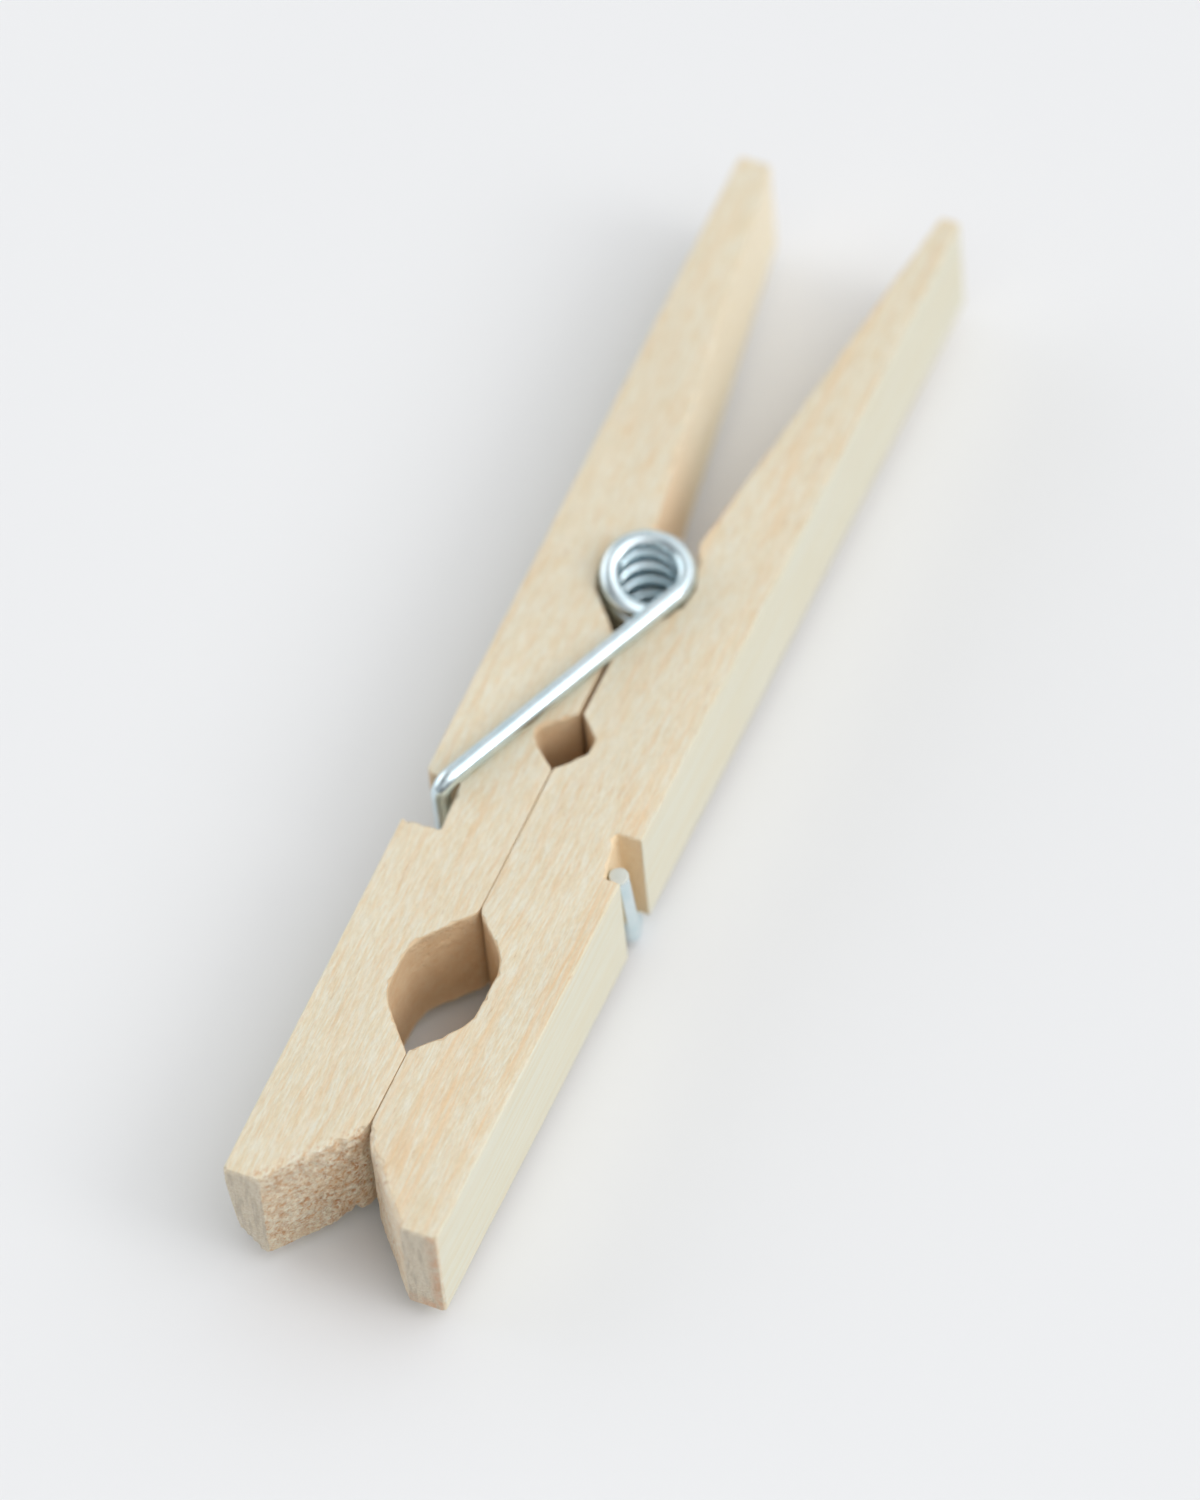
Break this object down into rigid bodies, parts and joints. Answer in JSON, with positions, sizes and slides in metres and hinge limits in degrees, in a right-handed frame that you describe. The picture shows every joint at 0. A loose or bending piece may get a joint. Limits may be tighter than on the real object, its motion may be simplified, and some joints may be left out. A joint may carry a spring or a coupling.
{
  "type": "spring clothespin",
  "caption": "Wooden spring clothespin: milled legs that turn on the coil of a steel torsion spring, whose hooks drop into notches in their outer faces.",
  "frame": {"origin": "bottom centre of the whole pin as it lies on its broad side, on the spring's lower arm", "axes": "+Z along the coil's axis, +Y along the legs from the jaws to the tails, +X towards the right leg"},
  "size_m": [0.0134, 0.072, 0.0098],
  "materials": {
    "left_leg_wood": "bare pale close-grained wood, planed on the faces and milled across in the notches, no coating",
    "right_leg_wood": "bare pale close-grained wood, planed on the faces and milled across in the notches, no coating",
    "spring_wire": "bright zinc-plated spring wire"
  },
  "bodies": {
    "left_leg": {"left_leg": "left_leg_wood"},
    "right_leg": {"right_leg": "right_leg_wood"},
    "torsion_spring": {"torsion_spring": "spring_wire"}
  },
  "joints": [
    {"name": "jaw_open", "type": "hinge", "parent": "left_leg", "child": "right_leg", "pos_m": [0, 0.00722, 0.00475], "axis": [0, 0, 1], "range_deg": [0, 19], "deforming": ["torsion_spring"]},
    {"name": "spring_turn", "type": "hinge", "parent": "left_leg", "child": "torsion_spring", "pos_m": [0, 0.00722, 0.00475], "axis": [0, 0, 1], "range_deg": [0, 9.5]}
  ],
  "couplings": [
    {"joint": "spring_turn", "follows": "jaw_open", "ratio": 0.5}
  ]
}
